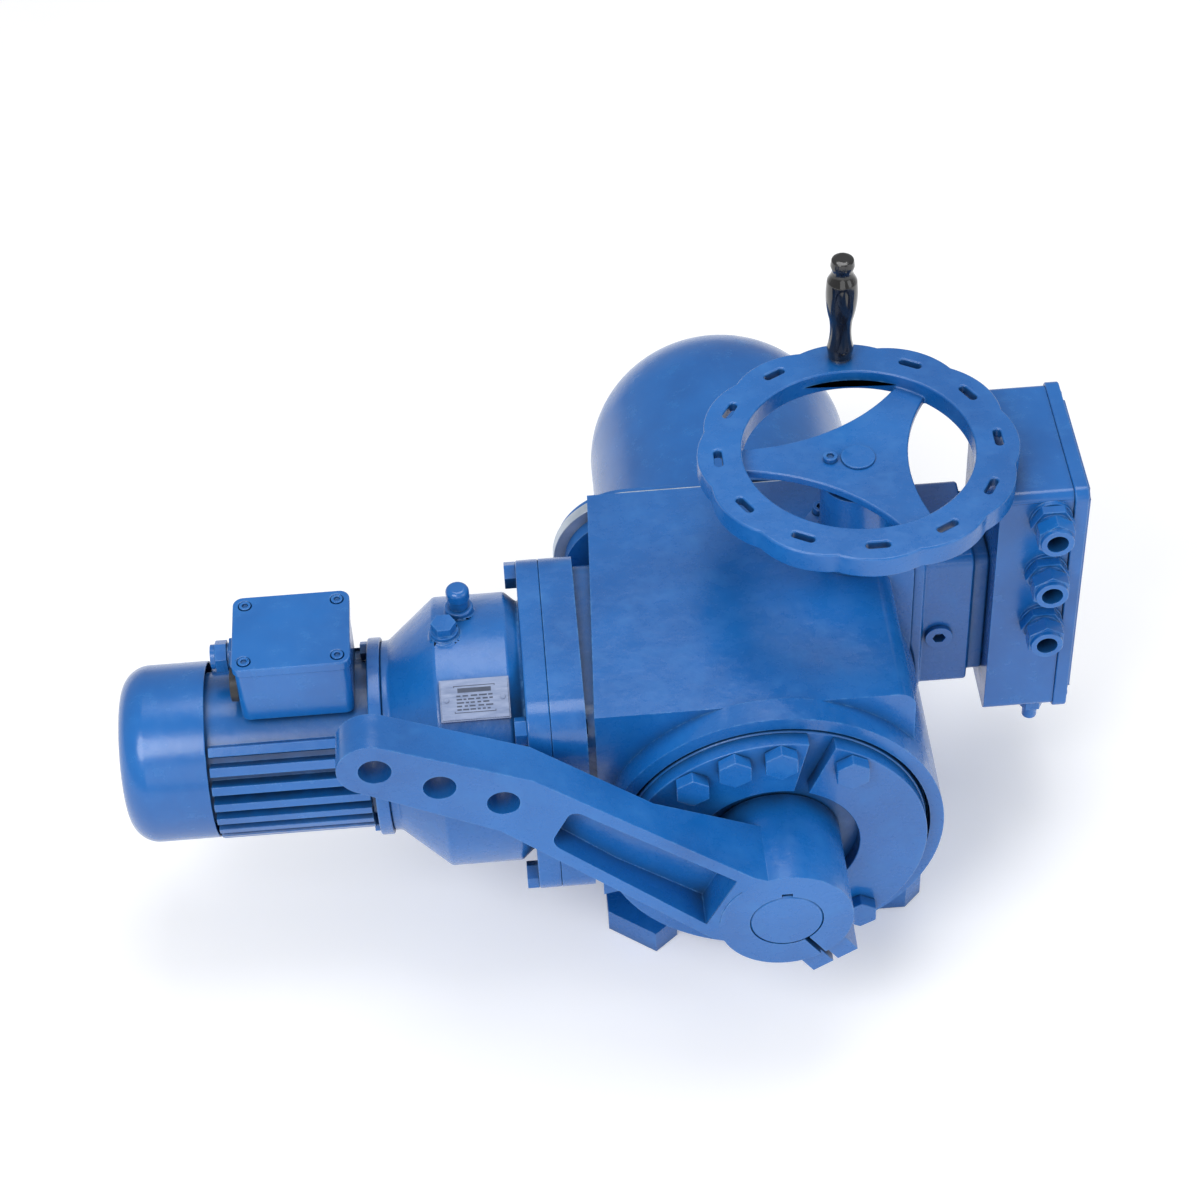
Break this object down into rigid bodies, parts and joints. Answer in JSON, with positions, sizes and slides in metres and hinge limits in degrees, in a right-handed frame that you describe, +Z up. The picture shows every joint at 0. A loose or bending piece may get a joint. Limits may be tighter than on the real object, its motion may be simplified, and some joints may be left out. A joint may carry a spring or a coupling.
{
  "type": "worm gearbox actuator",
  "caption": "Motor-driven worm gearbox on feet, with a swinging lever arm, stop segments, a handwheel with a crank handle, a rear hood and a cable connection box.",
  "frame": {"origin": "centre of the foot bolt pattern on the foot plane, under the output shaft", "axes": "+Z up, +X away from the motor, -Y towards the lever; the output shaft is along Y"},
  "size_m": [0.751, 0.596, 0.4685],
  "materials": {
    "blue_paint": "gloss blue enamel on cast iron",
    "blue_casing": "gloss blue enamel on aluminium and sheet",
    "grey_ring": "light grey cast aluminium",
    "plate": "matt etched plate",
    "steel": "ground steel",
    "bronze": "cast bronze",
    "iron": "laminated or cast iron",
    "copper": "lacquered copper wire",
    "black_plastic": "glossy black moulded plastic",
    "dark_plastic": "dark moulded plastic",
    "board": "green circuit board",
    "seal_rubber": "black rubber"
  },
  "bodies": {
    "housing": {"gear_housing": "blue_paint", "front_cover": "blue_paint", "left_stop_segment": "blue_paint", "right_stop_segment": "blue_paint", "stop_segment_bolts": "blue_paint", "bell_housing": "blue_paint", "bell_breather": "blue_paint", "bell_oil_plug": "blue_paint", "bell_flange_bolts": "blue_paint", "nameplate": "plate", "motor_flange": "blue_paint", "motor_flange_bolts": "blue_paint", "motor_frame": "blue_casing", "motor_stator": "iron", "motor_windings": "copper", "fan_cover": "blue_casing", "motor_terminal_box": "blue_casing", "motor_terminal_lid": "blue_casing", "motor_terminal_screws": "blue_casing", "motor_terminal_block": "dark_plastic", "motor_cable_gland": "blue_casing", "motor_blanking_plug": "dark_plastic", "hood_mounting_ring": "grey_ring", "rear_hood": "blue_casing", "hood_screws": "blue_casing", "sensor_plate": "grey_ring", "position_sensor": "dark_plastic", "control_board": "board", "cross_shaft_bracket": "iron", "hand_drive_bushes": "bronze", "handwheel_pedestal": "blue_paint", "pedestal_screws": "blue_paint", "connection_neck": "blue_paint", "connection_box": "blue_casing", "connection_lid": "blue_casing", "connection_lid_screws": "blue_casing", "connection_glands": "blue_casing", "connection_terminals": "dark_plastic", "connection_plugs": "blue_casing", "output_shaft_bearings": "steel", "output_shaft_seal": "seal_rubber", "worm_and_motor_bearings": "steel"},
    "output": {"output_shaft": "steel", "output_shaft_keys": "steel", "worm_wheel": "bronze", "feedback_gear": "bronze", "lever_arm": "blue_paint", "lever_clamp_screw": "blue_paint"},
    "worm": {"worm_shaft": "steel", "first_stage_gear": "steel"},
    "rotor": {"motor_shaft": "steel", "motor_rotor": "iron", "cooling_fan": "dark_plastic"},
    "cross": {"cross_shaft": "steel"},
    "hand": {"handwheel_shaft": "steel", "handwheel": "blue_paint", "handwheel_cap_and_screw": "blue_paint", "grip_spindle": "steel"},
    "crank": {"crank_handle": "black_plastic"},
    "sensor": {"sensor_shaft": "steel"}
  },
  "joints": [
    {"name": "lever_swing", "type": "hinge", "parent": "housing", "child": "output", "pos_m": [0, 0, 0.15], "axis": [0, 1, 0], "range_deg": [-10, 80]},
    {"name": "worm_spin", "type": "hinge", "parent": "housing", "child": "worm", "pos_m": [0, -0.015, 0.213], "axis": [1, 0, 0], "range_deg": [-3200, 400]},
    {"name": "rotor_spin", "type": "hinge", "parent": "housing", "child": "rotor", "pos_m": [-0.35, -0.015, 0.171], "axis": [1, 0, 0], "range_deg": [-1000, 8000]},
    {"name": "cross_spin", "type": "hinge", "parent": "housing", "child": "cross", "pos_m": [0.084, 0.021, 0.213], "axis": [0, 1, 0], "range_deg": [-3200, 400]},
    {"name": "handwheel_spin", "type": "hinge", "parent": "housing", "child": "hand", "pos_m": [0.084, 0.057, 0.35], "axis": [0, 0, 1], "range_deg": [-3200, 400]},
    {"name": "grip_spin", "type": "hinge", "parent": "hand", "child": "crank", "pos_m": [0.084, 0.163, 0.42], "axis": [0, 0, 1], "continuous": true},
    {"name": "sensor_spin", "type": "hinge", "parent": "housing", "child": "sensor", "pos_m": [0, 0.18, 0.198], "axis": [0, 1, 0], "range_deg": [-133.34, 16.67]}
  ],
  "couplings": [
    {"joint": "worm_spin", "follows": "lever_swing", "ratio": -40},
    {"joint": "rotor_spin", "follows": "lever_swing", "ratio": 100},
    {"joint": "cross_spin", "follows": "lever_swing", "ratio": -40},
    {"joint": "handwheel_spin", "follows": "lever_swing", "ratio": -40},
    {"joint": "sensor_spin", "follows": "lever_swing", "ratio": -1.6667}
  ]
}
